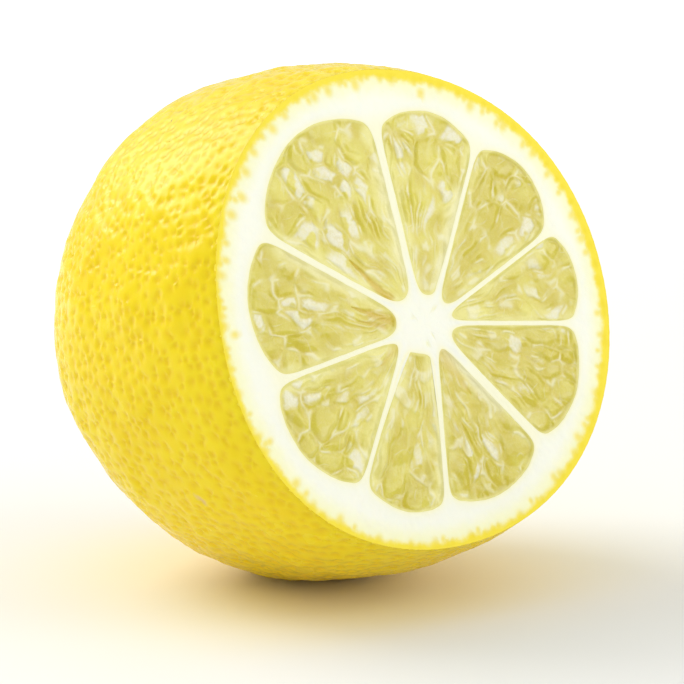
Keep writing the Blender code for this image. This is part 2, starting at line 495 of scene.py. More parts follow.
def restFlat(coords):
    # the skin lies flat where it rests on the table
    world = np.array(toWorld.to_3x3()) @ coords.T + np.array(toWorld.translation)[:, None]
    sunk = np.minimum(world[2] - cadLow.z, 0.0)
    upward = np.array(turn.to_3x3().transposed() @ Vector((0.0, 0.0, 1.0)))
    return coords - np.outer(sunk, upward) / unit


def buildPeel():
    s = skin
    bm, coords, station, angle, onEdge, centres = peelBase()
    gland, pitDepth = glandPits(coords, onEdge, centres)
    relief = -pitDepth
    for size, height in s["lumps"]:
        relief += fractal(coords, size, s["lumpOctaves"]) * height * smoothStep(*s["lumpFade"], station)
    fromTip = np.hypot(coords[:, 0], coords[:, 1])
    fromTip += s["tipScarWobble"] * noiseAt(coords, *s["tipScarNoise"])
    tipScar = np.where(station < s["tipStation"], 0.0, 1.0 - smoothStep(*s["tipScarRadii"], fromTip))
    relief -= s["tipScarDepth"] * tipScar
    normals = np.array([v.normal for v in bm.verts])
    coords = coords + normals * relief[:, None]
    coords[onEdge, 2] = 0.0
    setCoords(bm, restFlat(coords))

    aside = (np.degrees(angle) % 360 - s["scarAngle"]) * s["scarPerDegree"] / s["scarSize"][0]
    along = (station - s["scarStation"]) / s["scarSize"][1] + s["scarSlant"] * aside
    scar = 1.0 - smoothStep(*s["scarEdge"], np.hypot(along, aside))
    tipShare = smoothStep(*s["greenFrom"], station)
    paintPoints(bm, {"gland": gland, "scar": scar, "tipShare": tipShare, "tipScar": tipScar})

    # the cut edge turns in to a narrow lip, then down to the floor under the pith
    rim = boundaryEdges(bm)
    for depth in (0.0, s["recess"]):
        rim, added = extrudeRim(bm, rim)
        for vert in added:
            theta = atan2(vert.co.y, vert.co.x)
            inner = cutEdgeRadius(theta) - s["lip"]
            vert.co = (inner * cos(theta), inner * sin(theta), -depth)
    closeSolid(bm, rim)
    return bm


peel = finishPiece("peel", buildPeel(), makePeelMaterial())
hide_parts("cut_lemon")

pithLook = {
    "white": (0.95, 0.955, 0.81, 1.0),
    "cream": (0.95, 0.94, 0.58, 1.0),
    "yellow": (0.93, 0.76, 0.035, 1.0),
    "gland": (0.90, 0.715, 0.02, 1.0),
    "membrane": (0.93, 0.885, 0.48, 1.0),
    # noises: how many to the millimetre, detail, roughness
    "raggedNoise": (0.8, 3.0, 0.6),
    "spongyNoise": (1.6, 4.0, 0.65),
    "creamFrom": (0.45, 1.3),       # millimetres in from the skin
    "whiteFrom": (0.9, 3.5),
    "glandAmount": 0.7,
    "nearPulpAmount": 0.7,
    "fleckAmount": 0.6,
    "scatter": 0.35,
    "scatterAtPulp": (0.0, 0.5, 1.0, 0.15),
    "scatterFrom": (0.0, 1.8),      # millimetres in from the skin
    "bumpHeight": 0.12,
    "bumpStrength": 0.35,
}


def makePithMaterial():
    n = Nodes("lemonPith")
    look = pithLook
    depth = n.attribute("skinDepth")      # millimetres in from the skin, less where the skin is thick
    nearPulp = n.attribute("nearPulp")
    rough = n.math("ADD", depth, n.math("SUBTRACT", n.noise(*look["raggedNoise"]), 0.5))
    tone = n.mix(n.mapRange(rough, *look["creamFrom"]), look["yellow"], look["cream"])
    tone = n.mix(n.mapRange(rough, *look["whiteFrom"]), tone, look["white"])
    tone = n.mix(n.times(n.attribute("gland"), look["glandAmount"]), tone, look["gland"])
    tone = n.mix(n.times(nearPulp, look["nearPulpAmount"]), tone, look["membrane"])
    tone = n.mix(n.times(n.attribute("fleck"), look["fleckAmount"]), tone, look["membrane"])
    n.set(Base_Color=tone, Roughness=0.55, IOR=1.4)
    n.set(Normal=n.bump(n.noise(*look["spongyNoise"]), look["bumpHeight"], look["bumpStrength"]))
    # less light stays inside where the pith thins out, at the membranes and under the skin
    inside = n.times(n.mapRange(nearPulp, *look["scatterAtPulp"]), n.mapRange(depth, *look["scatterFrom"]))
    n.set(Subsurface_Weight=n.times(inside, look["scatter"]))
    n.set(Subsurface_Radius=(1.0, 0.9, 0.6), Subsurface_Scale=0.0015)
    return n.material


pith = {
    "step": 0.2,            # spacing of the points along the outlines
    "midSteps": 100,
    "bendLength": 2.0,      # of a membrane where it leaves the core
    "bendPull": 0.9,
    "bands": 6,
    "bandGrowth": 1.3,      # bands get wider away from the pulp
    "narrowest": 0.05,
    "rimBands": 26,
    "rimInset": 0.02,
    "weld": 0.004,
    "level": -0.01,
    "wellDepth": 1.5,
    "thickness": 2.5,
    "rimMargin": 0.6,       # edges farther out than this past the ring are the outer rim
    # the tint beside the pulp and on the membranes
    "tintReach": 16.0,
    "tintWidth": 0.34,
    "membraneTint": 0.6,
    "membraneFrom": (5.0, 9.0),         # distance from the core
    "membraneTo": (20.0, 22.5),         # distance from the fruit's axis
    # rows of cut glands: depth under the skin, spacing, share of them that the knife met
    "glandRows": [(0.72, 1.7, 0.95), (1.25, 1.9, 0.5), (1.9, 3.2, 0.08)],
    "glandRing": 26.0,
    "glandJitter": 0.45,
    "glandScatter": 0.2,
    "glandSizes": (0.45, 0.95),
    "glandStretch": 1.35,
    "glandEdge": (0.1, 1.0),
    "glandReach": 3.0,
    "glandDip": 0.06,
    "skinSwell": 0.35,      # how much thicker the skin is towards the upper right
    "swellDirection": 30.0,
    "skinNoise": (6.0, 4.0),
    "skinWobble": 0.3,
    "flecks": [(1.9, -0.3, 0.45), (0.4, -4.0, 0.45), (-1.0, -1.0, 0.3), (1.2, -3.2, 0.25)],
    "fleckEdge": (0.2, 1.0),
    "fleckDip": 0.1,
    # the spongy surface: size, octaves, height
    "sponge": [(2.2, 3, 0.05), (0.7, 2, 0.018)],
    "spongeFrom": (0.2, 0.8),       # millimetres in from the skin
    "seed": 5,
}


def membraneCurve(membrane, steps):
    # from the core's middle out to the ring, bending a little where it leaves the core
    atCore, atRind, _ = membrane
    core = cutFace["core"]
    inner = core + heading(atCore) * cutFace["coreRadius"]
    outer = core + heading(atRind) * cutFace["pulpRadius"]
    along = (outer - inner).normalized()
    reach = toCircle(outer, along, cutFace["ringRadius"])
    end = outer + along * reach
    t = np.linspace(0.0, 1.0, steps + 1)[:, None]
    start, bend, end = (np.array(v) for v in (core, inner + along * pith["bendLength"], end))
    bend = start + (bend - start) * pith["bendPull"]
    curve = (1 - t) ** 2 * start + 2 * (1 - t) * t * bend + t ** 2 * end
    return curve, inner, along


def toCircle(origin, direction, radius):
    along = origin.dot(direction)
    return -along + sqrt(max(0.0, along * along + radius * radius - origin.length_squared))


def segmentWalls(number):
    # the two membranes' faces and the line across the core's side, each as a point and a normal
    first = cutFace["membranes"][number]
    second = cutFace["membranes"][(number + 1) % segmentCount]
    _, innerA, alongA = membraneCurve(first, 2)
    _, innerB, alongB = membraneCurve(second, 2)
    sideA = Vector((alongA.y, -alongA.x))
    sideB = Vector((-alongB.y, alongB.x))
    outwards = (alongA + alongB).normalized()
    inward = (innerA + innerB) / 2
    walls = [
        (innerA - sideA * first[2] / 2, sideA),
        (innerB - sideB * second[2] / 2, sideB),
        (inward - outwards * cutFace["reachIn"][number], -outwards),
    ]
    middle = inward + outwards * (cutFace["pulpRadius"] - cutFace["coreRadius"]) * cutFace["middleShare"]
    return walls, middle


def lobeCentre(number):
    return segmentWalls(number)[1]


smallestSlope = 1e-3


def endReach(number, centre, angles):
    # distance from the segment's middle to its rounded outer end, which has straight flanks
    direction, farthest, radius = cutFace["ends"][number]
    turned = angles - radians(direction)
    dx, dy = np.cos(turned), np.sin(turned)
    axis = heading(direction)
    start = centre - axis * (farthest - radius)
    ox, oy = start.dot(axis), start.dot(Vector((-axis.y, axis.x)))
    along = ox * dx + oy * dy
    reach = -along + np.sqrt(np.maximum(along ** 2 + radius ** 2 - ox * ox - oy * oy, 0.0))
    sideways = np.where(np.abs(dy) < smallestSlope, smallestSlope, dy)
    flank = (radius * np.sign(sideways) - oy) / sideways
    return np.where(ox + reach * dx < 0, flank, reach)


def lobeReach(number, centre, angles):
    # how far the pulp's outline is from the segment's middle in each direction, with rounded corners
    walls, _ = segmentWalls(number)
    directions = np.c_[np.cos(angles), np.sin(angles)]
    power = cutFace["rounding"]
    total = endReach(number, centre, angles) ** -power
    for point, normal in walls:
        closing = directions @ np.array(normal)
        gap = np.array(point - centre) @ np.array(normal)
        total += np.where(closing > tiny, (np.maximum(closing, tiny) / gap) ** power, 0.0)
    reach = total ** (-1 / power)
    uneven = 1.0
    for often, amount, shift in cutFace["wobble"]:
        uneven += amount * noiseAt(directions * often, 1.0, number * cutFace["wobbleApart"] + shift)
    return reach * uneven


def sectorLoop(number):
    # a segment's cell boundary: out along one membrane's middle, round the ring, back along the other
    first = membraneCurve(cutFace["membranes"][number], pith["midSteps"])[0]
    second = membraneCurve(cutFace["membranes"][(number + 1) % segmentCount], pith["midSteps"])[0]
    start = atan2(first[-1][1], first[-1][0])
    sweep = (atan2(second[-1][1], second[-1][0]) - start) % (2 * pi)
    count = int(sweep * cutFace["ringRadius"] / pith["step"])
    angles = start + sweep * np.arange(1, count) / count
    arc = np.c_[np.cos(angles), np.sin(angles)] * cutFace["ringRadius"]
    return np.r_[first, arc, second[:0:-1]], start, sweep, count


def pithCell(number):
    # the two flat strips that a segment needs: round its pulp, and from there out to the peel's lip
    loop, start, sweep, count = sectorLoop(number)
    centre = lobeCentre(number)
    offsets = loop - np.array(centre)
    angles = np.arctan2(offsets[:, 1], offsets[:, 0])
    cell = np.hypot(offsets[:, 0], offsets[:, 1])
    lobe = np.minimum(lobeReach(number, centre, angles), cell - pith["narrowest"])
    bands = pith["bands"]
    ring = bmesh.new()
    bmesh.ops.create_grid(ring, x_segments=len(loop), y_segments=bands, size=1.0)
    for vert in ring.verts:
        column = int(round((vert.co.x + 1) / 2 * len(loop))) % len(loop)
        row = int(round((vert.co.y + 1) / 2 * bands))
        share = (row / bands) ** pith["bandGrowth"]
        away = lobe[column] * (1 - share) + cell[column] * share
        x = centre.x + cos(angles[column]) * away
        y = centre.y + sin(angles[column]) * away
        if row == bands:
            x, y = loop[column]
        vert.co = (x, y, 0.0)
    rind = bmesh.new()
    bmesh.ops.create_grid(rind, x_segments=count, y_segments=pith["rimBands"], size=1.0)
    for vert in rind.verts:
        theta = start + sweep * (vert.co.x + 1) / 2
        outer = cutEdgeRadius(theta) - pith["rimInset"]
        radius = cutFace["ringRadius"] + (outer - cutFace["ringRadius"]) * (vert.co.y + 1) / 2
        vert.co = (radius * cos(theta), radius * sin(theta), 0.0)
    return ring, rind


def joinPith():
    whole = bmesh.new()
    for number in range(segmentCount):
        for part in pithCell(number):
            mesh = bpy.data.meshes.new("part")
            part.to_mesh(mesh)
            whole.from_mesh(mesh)
            part.free()
            bpy.data.meshes.remove(mesh)
    bmesh.ops.remove_doubles(whole, verts=whole.verts[:], dist=pith["weld"])
    bmesh.ops.recalc_face_normals(whole, faces=whole.faces[:])
    if sum(f.normal.z for f in whole.faces) < 0:
        bmesh.ops.reverse_faces(whole, faces=whole.faces[:])
    whole.verts.index_update()
    return whole


def besidePulp(coords):
    # 1 at the edge of the pulp, less with the distance from it
    near = np.zeros(len(coords))
    for number in range(segmentCount):
        centre = lobeCentre(number)
        dx, dy = coords[:, 0] - centre.x, coords[:, 1] - centre.y
        away = np.hypot(dx, dy)
        close = np.nonzero(away < pith["tintReach"])[0]
        gap = away[close] - lobeReach(number, centre, np.arctan2(dy, dx)[close])
        near[close] = np.maximum(near[close], np.exp(-np.abs(gap) / pith["tintWidth"]))
    return near


def cutGlands(coords, skinDepth):
    # cut oil glands stand in a loose row just inside the skin, longer inwards than they are wide
    p = pith
    random = np.random.default_rng(p["seed"])
    glands = []
    for depth, spacing, share in p["glandRows"]:
        count = int(2 * pi * p["glandRing"] / spacing)
        for i in range(count):
            angle = 2 * pi * (i + random.uniform(-p["glandJitter"], p["glandJitter"])) / count
            swell = p["skinSwell"] * cos(angle - radians(p["swellDirection"]))
            away = cutEdgeRadius(angle) - depth - swell
            away += random.uniform(-p["glandScatter"], p["glandScatter"])
            size = random.uniform(*p["glandSizes"])
            if random.random() < share:
                glands.append((away * cos(angle), away * sin(angle), size))
    tree = kdtree.KDTree(len(glands))
    for i, (x, y, size) in enumerate(glands):
        tree.insert((x, y, 0.0), i)
    tree.balance()
    gland = np.zeros(len(coords))
    for i in np.nonzero(skinDepth < p["glandReach"])[0]:
        _, which, _ = tree.find((coords[i][0], coords[i][1], 0.0))
        x, y, size = glands[which]
        inwards = (np.array((x, y)) / sqrt(x * x + y * y)) @ (coords[i][:2] - (x, y))
        aside = sqrt(max(0.0, (coords[i][0] - x) ** 2 + (coords[i][1] - y) ** 2 - inwards ** 2))
        distance = sqrt((inwards / p["glandStretch"]) ** 2 + aside ** 2)
        gland[i] = 1.0 - smoothStep(*p["glandEdge"], distance / size)
    return gland


def shapePith(bm):
    # the cut surface's own relief, and what its material reads
    p = pith
    coords = getCoords(bm)
    theta = np.arctan2(coords[:, 1], coords[:, 0])
    fromAxis = np.hypot(coords[:, 0], coords[:, 1])
    toCore = np.hypot(coords[:, 0] - cutFace["core"].x, coords[:, 1] - cutFace["core"].y)
    skinDepth = cutEdgeRadius(theta) - fromAxis
    nearPulp = besidePulp(coords)
    gland = cutGlands(coords, skinDepth)
    fleck = np.zeros(len(coords))
    for x, y, size in p["flecks"]:
        distance = np.hypot(coords[:, 0] - x, coords[:, 1] - y)
        fleck = np.maximum(fleck, 1.0 - smoothStep(*p["fleckEdge"], distance / size))
    skinThickness = p["skinSwell"] * np.cos(theta - radians(p["swellDirection"]))
    skinThickness += p["skinWobble"] * noiseAt(coords, *p["skinNoise"])
    relief = sum(fractal(coords, size, octaves) * height for size, octaves, height in p["sponge"])
    relief -= gland * p["glandDip"] + fleck * p["fleckDip"]
    relief *= smoothStep(*p["spongeFrom"], skinDepth) * (1.0 - nearPulp)
    coords[:, 2] = relief + p["level"]
    setCoords(bm, coords)
    inMembrane = smoothStep(*p["membraneFrom"], toCore) * (1.0 - smoothStep(*p["membraneTo"], fromAxis))
    nearPulp = np.maximum(nearPulp, p["membraneTint"] * inMembrane)
    depth = skinDepth - skinThickness
    paintPoints(bm, {"skinDepth": depth, "gland": gland, "nearPulp": nearPulp, "fleck": fleck})


def buildPith():
    whole = joinPith()
    shapePith(whole)
    # the wells' walls and the outer wall go straight down, then the wells and the back are closed
    rims = boundaryEdges(whole)
    farOut = cutFace["ringRadius"] + pith["rimMargin"]
    outerRim = [e for e in rims if e.verts[0].co.to_2d().length > farOut]
    wellRims = [e for e in rims if e.verts[0].co.to_2d().length <= farOut]
    bmesh.ops.holes_fill(whole, edges=dropWalls(whole, wellRims, pith["wellDepth"]), sides=0)
    closeSolid(whole, dropWalls(whole, outerRim, pith["thickness"]))
    return whole


finishPiece("pith", buildPith(), makePithMaterial())

pulpLook = {
    "deep": (0.585, 0.495, 0.026, 1.0),
    "light": (0.685, 0.615, 0.085, 1.0),
    # whitish colour for the sacs' own cloudy juice and a painted wet highlight
    "milkySheen": (0.77, 0.745, 0.55, 1.0),
    "wall": (0.81, 0.78, 0.52, 1.0),
    # golden: colour of the painted shade along the sac walls and the pulp's outer edge
    "golden": (0.60, 0.47, 0.02, 1.0),
    "amber": (0.60, 0.43, 0.012, 1.0),
    "glow": (0.79, 0.745, 0.27, 1.0),
    # noises: how many to the millimetre, detail, roughness, distortion
    "grainNoise": (2.6, 3.0, 0.65),
    "cloudNoise": (0.9, 3.0, 0.6, 0.4),
    "cloudRange": (0.45, 0.75),
    "cloudAmount": 0.3,
    "outlineAmount": 0.4,
    "glowAmount": 0.7,
    "milkSheenGrain": (0.34, 0.56, 0.7, 1.0),
    "wallAmount": 0.65,
    "roughness": (0.3, 0.7, 0.15, 0.32),    # the first two are the grain noise's own range
    "scatter": (0.0, 0.8, 0.5, 0.1),        # less where the glow is strong
    "bumpHeight": 0.06,
    "bumpStrength": 0.25,
}


def makePulpMaterial():
    n = Nodes("lemonPulp")
    look = pulpLook
    grain = n.noise(*look["grainNoise"])
    cloud = n.noise(*look["cloudNoise"])
    glow = n.attribute("glow")
    tone = n.mix(n.attribute("tone"), look["deep"], look["light"])
    tone = n.mix(n.times(n.mapRange(cloud, *look["cloudRange"]), look["cloudAmount"]), tone, look["glow"])
    # golden painted shade along the sac walls and the pulp's outer edge
    tone = n.mix(n.times(n.attribute("outlineShade"), look["outlineAmount"]), tone, look["golden"])
    tone = n.mix(n.times(glow, look["glowAmount"]), tone, look["glow"])
    # whitish patches: the sacs' own cloudy juice mixed with a painted wet highlight
    tone = n.mix(n.times(n.attribute("milkAndSheen"), n.mapRange(grain, *look["milkSheenGrain"])), tone, look["milkySheen"])
    tone = n.mix(n.times(n.attribute("wall"), look["wallAmount"]), tone, look["wall"])
    tone = n.mix(n.attribute("amber"), tone, look["amber"])
    n.set(Base_Color=tone, Roughness=n.mapRange(grain, *look["roughness"]))
    n.set(Normal=n.bump(grain, look["bumpHeight"], look["bumpStrength"]))
    # the light stays in the flesh less where the flesh thins out at a membrane
    n.set(Subsurface_Weight=n.mapRange(glow, *look["scatter"]))
    n.set(Subsurface_Radius=(1.0, 0.85, 0.3), Subsurface_Scale=0.0014)
    n.set(IOR=1.36, Coat_Weight=0.6, Coat_Roughness=0.1, Coat_IOR=1.36)
    return n.material


pulp = {
    "cells": 200,
    "level": -0.035,
    "highest": 0.1,
    "depth": 1.2,
    "tuck": 0.03,           # how far the pulp goes in under the pith
    "edgeWidth": 0.6,
    # juice sacs
    "sacAngle": 0.125,      # radians between sacs, seen from the core
    "sacLengths": (3.2, 8.5),       # near the rind, near the core
    "longUntil": 19.0,
    "tableReach": 30.0,
    "tableStep": 0.1,
    "pattern": 64,          # sacs before the pattern repeats
    "sacJitter": 0.46,
    "sacWeights": (0.8, 1.3),
    "warps": ((5.0, 1.3), (1.8, 0.4)),
    "warpShift": 40.0,
    "sacRounding": 0.45,
    "sacHeight": 0.12,
    "sacSink": 0.85,
    "sacTilt": 0.16,
    "sacOffset": 0.06,
    "fullWidth": 1.8,       # narrower sacs are flatter
    "wallWidth": 0.12,
    "wallHeight": 0.04,
    "brokenRange": (-0.1, 0.3),
    "creaseScale": (22.0, 0.35),    # across and along the sacs
    "creaseHeight": 0.03,
    "dentHeight": 0.04,
    "grainHeight": 0.008,
    "coreRange": (6.0, 13.0),
    # noises: size in millimetres, and where in the noise each starts
    "noises": {
        "broken": (1.6, 80.0),
        "crease": (1.0, 9.0),
        "dents": (1.3, 3.0),
        "grain": (0.5, 5.0),
        "clusters": (5.0, 50.0),
        "patches": (1.5, 60.0),
        "ragged": (0.55, 70.0),
        "strokes": (2.2, 75.0),
        "outlines": (2.0, 90.0),
        "tones": (3.4, 100.0),
        "glow": (2.4, 110.0),
        "flaps": (1.8, 120.0),
    },
    # dry hollows near the core: segment, from and to as (distance, direction) from the core, width, strength
    "hollows": [
        (8, (5.2, 142), (11.5, 137), 0.75, 0.95),
        (0, (4.5, 169), (9.5, 163), 0.85, 0.9),
        (0, (5.2, 177), (8.6, 172), 0.5, 0.7),
        (3, (3.2, -62), (9.5, -59), 1.6, 0.45),
        (1, (4.0, -152), (7.5, -149), 1.1, 0.45),
    ],
    "hollowTaper": 1.1,
    "hollowNoise": (1.0, 5.0),
    "hollowWobble": 0.25,
    "hollowEdge": 1.3,
    "hollowDepth": 0.08,
    # pale skins lying over the pulp along a membrane: segment, which side, from, to, width, strength
    "flaps": [
        (3, 1, 3.0, 15.0, 2.0, 1.0),
        (7, 0, 5.0, 18.0, 1.7, 0.6),
        (8, 0, 6.0, 20.0, 1.6, 0.6),
        (0, 0, 8.0, 21.0, 1.3, 0.5),
        (2, 1, 6.0, 20.0, 1.2, 0.4),
    ],
    "flapWobble": 0.6,
    "flapStart": (-1.5, 0.5),
    "flapStop": (-2.5, 0.0),
    "flapFull": 0.2,
    "paleness": [-0.15, 0.05, 0.0, -0.5, -0.5, -0.2, -0.45, 0.15, 0.15],     # of each segment
    "seed": 23,
}

# how the pulp is coloured: where each mark fades in and out, and how strong it is
marks = {
    # whitish patches, partly the sacs' own cloudy juice and partly a painted wet highlight
    "milkSheenInner": (0.1, 0.45),       # millimetres from a sac's wall
    "milkSheenFromEdge": (0.2, 0.8),
    "milkSheenChosen": (0.58, 0.68),
    "milkSheenSpread": 0.4,
    "milkSheenPatches": (-0.35, 0.0),
    "milkSheenRagged": 0.2,
    "milkAndSheen": 0.95,
    "milkSheenLostAtCore": 0.7,
    "rayRange": (0.15, 0.5),
    "raysFromCore": (4.5, 7.0),
    "rayAway": 0.3,         # how strong rays are away from the core
    "rays": 0.7,
    "strokeWidth": 0.03,
    "strokes": 0.6,
    "wallFromEdge": (0.2, 0.7),
    # painted shade: a golden ring just inside each sac's wall, and a line along the pulp's sunken outer edge
    "outlineAt": 0.2,
    "outlineWidth": 0.18,
    "outlineRange": (-0.3, 0.4),
    "rimAt": 0.3,
    "rimWidth": 0.16,
    "rimFromCore": (16.0, 19.0),
    "tone": 0.45,
    "toneNoise": 1.1,
    "toneOfSac": 0.3,
    "glowReach": 2.0,
    "glowWobble": 1.4,
    "edgeGlow": 0.55,
}


def pulpNoise(name, at, places=None):
    size, shift = pulp["noises"][name]
    return noiseAt(at["places"] if places is None else places, size, at["number"] + shift)


def streak(points, start, end, size):
    # distance from a line that narrows towards its end, as a share of its width there
    along = end - start
    t = np.clip(((points - start) @ along) / (along @ along), 0.0, 1.0)
    nearest = start + t[:, None] * along
    return np.hypot(*(points - nearest).T) / (size * (pulp["hollowTaper"] - t))


def sacPattern(number, points):
    # juice sacs as stretched cells that fan out from the core: how near each point is to a cell
    # wall in millimetres, and the cell's own random numbers
    p = pulp
    random = np.random.default_rng(p["seed"] + number)
    core = np.array(cutFace["core"])
    warped = points.copy()
    for size, amount in p["warps"]:
        warped[:, 0] += amount * noiseAt(points, size, number + size)
        warped[:, 1] += amount * noiseAt(points, size, number + size + p["warpShift"])
    offset = warped - core
    away = np.hypot(offset[:, 0], offset[:, 1])
    middle = np.array(lobeCentre(number)) - core
    facing = atan2(middle[1], middle[0])
    angle = (np.arctan2(offset[:, 1], offset[:, 0]) - facing + pi) % (2 * pi) - pi
    v = angle / p["sacAngle"]
    table = np.linspace(0.0, p["tableReach"], int(round(p["tableReach"] / p["tableStep"])) + 1)
    short, long = p["sacLengths"]
    lengths = short + (long - short) * np.clip(1.0 - table / p["longUntil"], 0.0, 1.0)
    u = np.interp(away, table, np.r_[0.0, np.cumsum(p["tableStep"] / lengths[1:])])
    size = p["pattern"]
    jitter = random.uniform(-p["sacJitter"], p["sacJitter"], (2, size, size))
    weights = random.uniform(*p["sacWeights"], (size, size))
    values = random.uniform(0.0, 1.0, (4, size, size))
    column = np.floor(v).astype(int)
    best = np.full(len(points), np.inf)
    second = best.copy()
    chosen = np.zeros((4, len(points)))
    local = np.zeros((2, len(points)))
    for dv in range(-2, 3):
        c = column + dv
        stagger = (c % 2) * 0.5
        row = np.floor(u - stagger).astype(int)
        for du in range(-1, 2):
            cell = ((row + du) % size, c % size)
            su = row + du + 0.5 + stagger + jitter[0][cell]
            sv = c + 0.5 + jitter[1][cell]
            d = np.hypot(u - su, v - sv) * weights[cell]
            closer = d < best
            second = np.where(closer, best, np.minimum(second, d))
            best = np.where(closer, d, best)
            chosen = np.where(closer, values[:, cell[0], cell[1]], chosen)
            local = np.where(closer, (u - su, v - sv), local)
    width = away * p["sacAngle"]
    return {"wallDistance": (second - best) * 0.5 * width, "width": width, "values": chosen,
            "local": local, "away": away, "angle": angle}


def hollowShare(number, places):
    # how far into a dry hollow each point is
    hollow = np.zeros(len(places))
    core = np.array(cutFace["core"])
    for segment, start, end, size, strength in pulp["hollows"]:
        if segment == number:
            ends = [core + r * np.array((cos(radians(a)), sin(radians(a)))) for r, a in (start, end)]
            near = streak(places, *ends, size) + pulp["hollowWobble"] * noiseAt(places, *pulp["hollowNoise"])
            hollow = np.maximum(hollow, strength * (1.0 - smoothStep(0.0, pulp["hollowEdge"], near)))
    return hollow


def flapShare(at):
    # how much of a pale skin lies over each point
    flap = np.zeros(len(at["places"]))
    for segment, side, start, stop, size, strength in pulp["flaps"]:
        if segment == at["number"]:
            ragged = pulp["flapWobble"] * pulpNoise("flaps", at)
            starts = smoothStep(*(start + shift for shift in pulp["flapStart"]), at["toCore"])
            stops = smoothStep(*(stop + shift for shift in pulp["flapStop"]), at["toCore"])
            across = 1.0 - smoothStep(pulp["flapFull"], size, at["toSides"][side] + ragged)
            flap = np.maximum(flap, strength * starts * (1.0 - stops) * across)
    return flap


def measurePulp(number, grid):
    # where each point of a square grid goes in the segment, and what is near it there
    discX = grid[:, 0] * np.sqrt(1 - grid[:, 1] ** 2 / 2)
    discY = grid[:, 1] * np.sqrt(1 - grid[:, 0] ** 2 / 2)
    share = np.hypot(discX, discY)
    angles = np.arctan2(discY, discX)
    walls, centre = segmentWalls(number)
    reach = lobeReach(number, centre, angles) + pulp["tuck"]
    x = centre.x + share * reach * np.cos(angles)
    y = centre.y + share * reach * np.sin(angles)
    places = np.c_[x, y]
    at = sacPattern(number, places)
    at.update(number=number, places=places, toEdge=(1.0 - share) * reach)
    at["toSides"] = [(np.array(point) - places) @ np.array(normal) for point, normal in walls[:2]]
    at["toCore"] = np.hypot(*(places - np.array(cutFace["core"])).T)
    at["broken"] = smoothStep(*pulp["brokenRange"], pulpNoise("broken", at))
    at["ridge"] = bell(at["wallDistance"], pulp["wallWidth"]) * at["broken"]
    across, along = pulp["creaseScale"]
    at["crease"] = pulpNoise("crease", at, np.c_[at["angle"] * across, at["away"] * along])
    at["hollow"] = hollowShare(number, places)
    return at


def pulpHeight(at):
    # rounded sacs, each at its own height and slant, with fine creases that run to the core
    p = pulp
    rounded = 1.0 - bell(at["wallDistance"], p["sacRounding"])
    amount = np.minimum(1.0, at["width"] / p["fullWidth"])
    slantAlong, slantAcross, lift = at["values"][:3] - 0.5
    tilt = slantAlong * at["local"][0] + slantAcross * at["local"][1]
    z = p["level"] + p["sacHeight"] * amount * (rounded - p["sacSink"])
    z += (p["sacTilt"] * tilt + p["sacOffset"] * lift) * amount * rounded
    z += p["creaseHeight"] * at["crease"] + p["wallHeight"] * at["ridge"]
    z += p["dentHeight"] * pulpNoise("dents", at)
    z += p["grainHeight"] * pulpNoise("grain", at)
    z -= p["hollowDepth"] * at["hollow"]
    inset = smoothStep(0.0, p["edgeWidth"], at["toEdge"])
    return np.minimum(z * inset + p["level"] * (1.0 - inset), p["highest"])


def pulpPaint(at):
    # whitish patches in clusters, partly the sacs' own cloudy juice and partly a painted wet highlight;
    # broken pale walls, rays near the core, and golden painted shade along the sac walls and the pulp's
    # outer edge
    m = marks
    toEdge, toCore = at["toEdge"], at["toCore"]
    paleness = pulp["paleness"][at["number"]]
    sacValue = at["values"][3]
    nearCore = 1.0 - smoothStep(*pulp["coreRange"], toCore)

    # painted wet highlight together with the sacs' cloudy juice, in clusters of sacs
    patches = pulpNoise("patches", at) + m["milkSheenRagged"] * pulpNoise("ragged", at)
    inner = smoothStep(*m["milkSheenInner"], at["wallDistance"]) * smoothStep(*m["milkSheenFromEdge"], toEdge)
    clusters = m["milkSheenSpread"] * (pulpNoise("clusters", at) + paleness)
    milkAndSheen = m["milkAndSheen"] * smoothStep(*m["milkSheenChosen"], sacValue + clusters) * inner
    milkAndSheen *= smoothStep(*m["milkSheenPatches"], patches) * (1.0 - m["milkSheenLostAtCore"] * nearCore)

    rays = smoothStep(*m["rayRange"], at["crease"]) * smoothStep(*m["raysFromCore"], toCore)
    rays *= m["rayAway"] + (1.0 - m["rayAway"]) * nearCore
    strokes = bell(pulpNoise("strokes", at), m["strokeWidth"]) * at["broken"]
    wall = np.maximum.reduce([at["ridge"], m["rays"] * rays, m["strokes"] * strokes])
    wall = np.maximum(wall * smoothStep(*m["wallFromEdge"], toEdge), flapShare(at))

    # painted shade where each sac curves down to its wall, and along the pulp's sunken outer edge
    outlineShade = bell(at["wallDistance"] - m["outlineAt"], m["outlineWidth"])
    outlineShade *= smoothStep(*m["outlineRange"], pulpNoise("outlines", at))
    rimShadeLine = bell(toEdge - m["rimAt"], m["rimWidth"]) * smoothStep(*m["rimFromCore"], toCore)
    outlineShade = np.maximum(outlineShade, rimShadeLine)

    tone = m["tone"] + paleness + m["toneNoise"] * pulpNoise("tones", at)
    tone = np.clip(tone + m["toneOfSac"] * (sacValue - 0.5), 0.0, 1.0)
    toMembrane = np.min(at["toSides"], axis=0) + m["glowWobble"] * pulpNoise("glow", at)
    glow = (1.0 - smoothStep(0.0, m["glowReach"], toMembrane)) * (1.0 + paleness)
    glow = np.maximum(glow, 1.0 - smoothStep(0.0, m["edgeGlow"], toEdge))
    return {"wall": wall, "milkAndSheen": milkAndSheen, "tone": tone, "outlineShade": outlineShade, "glow": glow,
            "amber": at["hollow"]}


